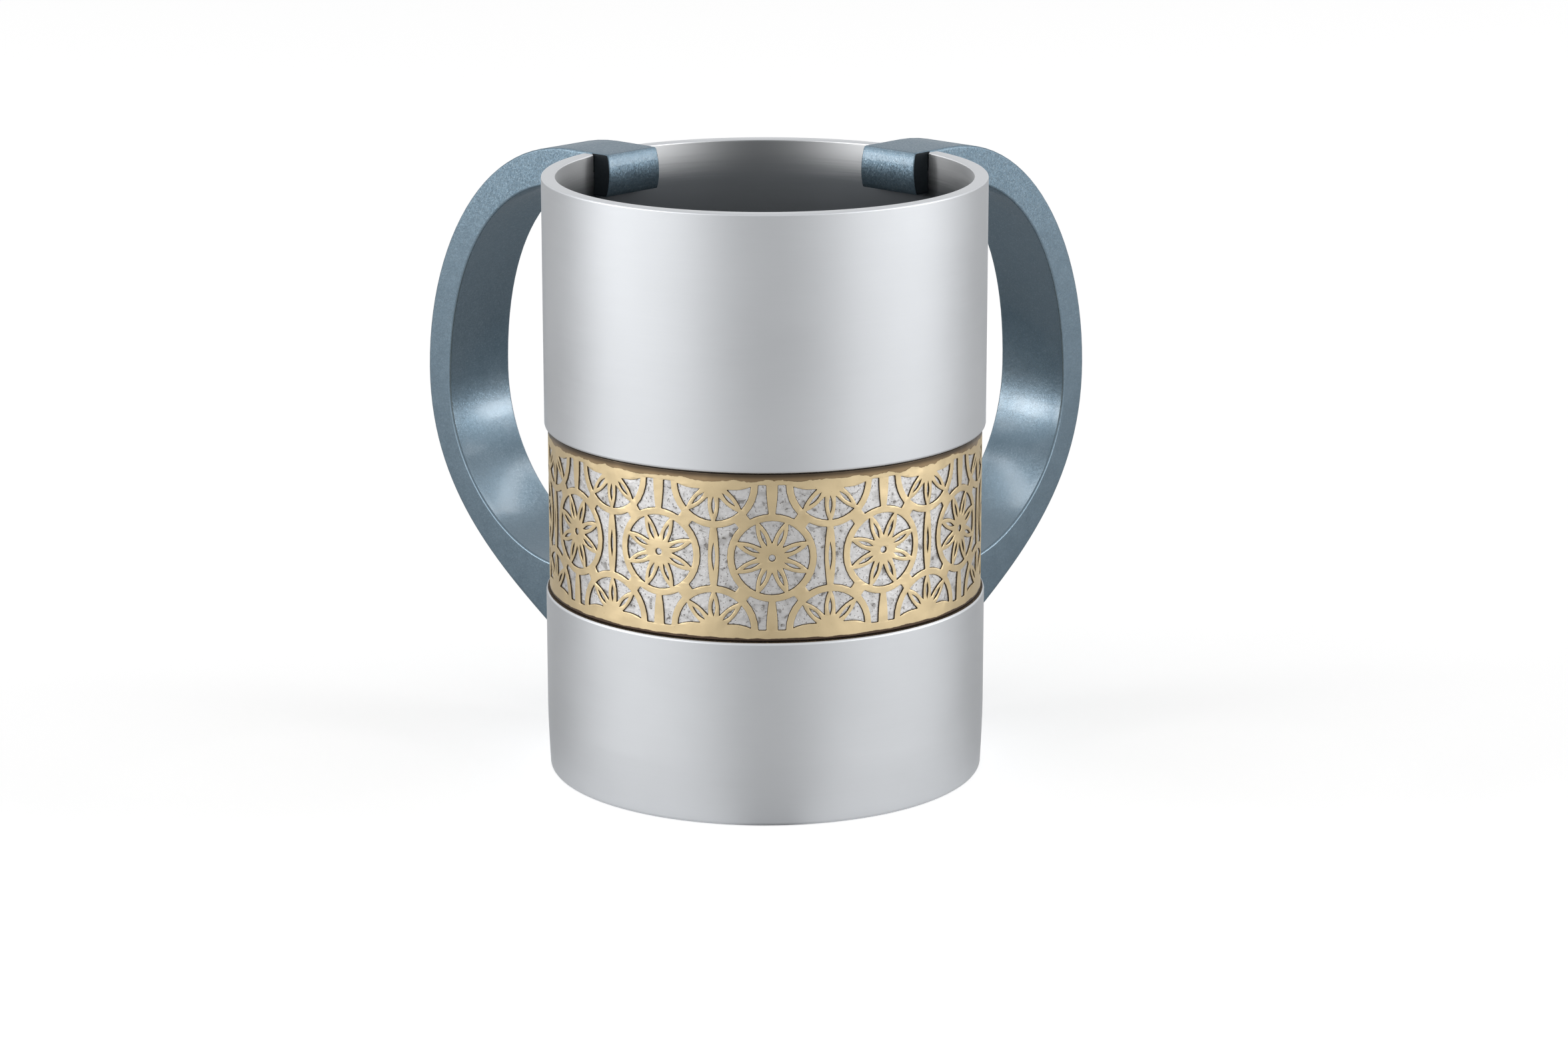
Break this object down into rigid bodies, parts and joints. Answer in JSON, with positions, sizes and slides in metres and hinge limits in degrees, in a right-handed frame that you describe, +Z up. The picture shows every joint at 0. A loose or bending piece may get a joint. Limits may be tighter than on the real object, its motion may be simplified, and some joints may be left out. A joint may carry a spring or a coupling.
{
  "type": "two-handled washing cup",
  "caption": "Straight round metal cup with a pierced ornamental band and two C-shaped handles, for ritual hand washing.",
  "frame": {"origin": "on the cup's axis, at the underside of its bottom", "axes": "+Z up along the cup's axis, -Y towards the front, the handles at the back left and back right, the same on both sides of X = 0"},
  "size_m": [0.1494, 0.1222, 0.1303],
  "materials": {
    "anodised_aluminium": "satin anodised, pale silver",
    "seal_rubber": "matt black",
    "dull_silver": "dull, speckled with grey oxide",
    "polished_brass": "polished, pale gold, slightly wavy",
    "blue_metallic_coat": "satin slate-blue coat with fine metallic flake",
    "stainless_steel": "turned, bare"
  },
  "bodies": {
    "root": {"cup_wall": "anodised_aluminium", "base_disc": "anodised_aluminium", "base_seal_ring": "seal_rubber", "silver_underlay_band": "dull_silver", "gold_cutwork_band": "polished_brass", "left_handle": "blue_metallic_coat", "right_handle": "blue_metallic_coat", "left_handle_screw": "stainless_steel", "right_handle_screw": "stainless_steel", "left_screw_seal": "seal_rubber", "right_screw_seal": "seal_rubber"}
  },
  "joints": []
}
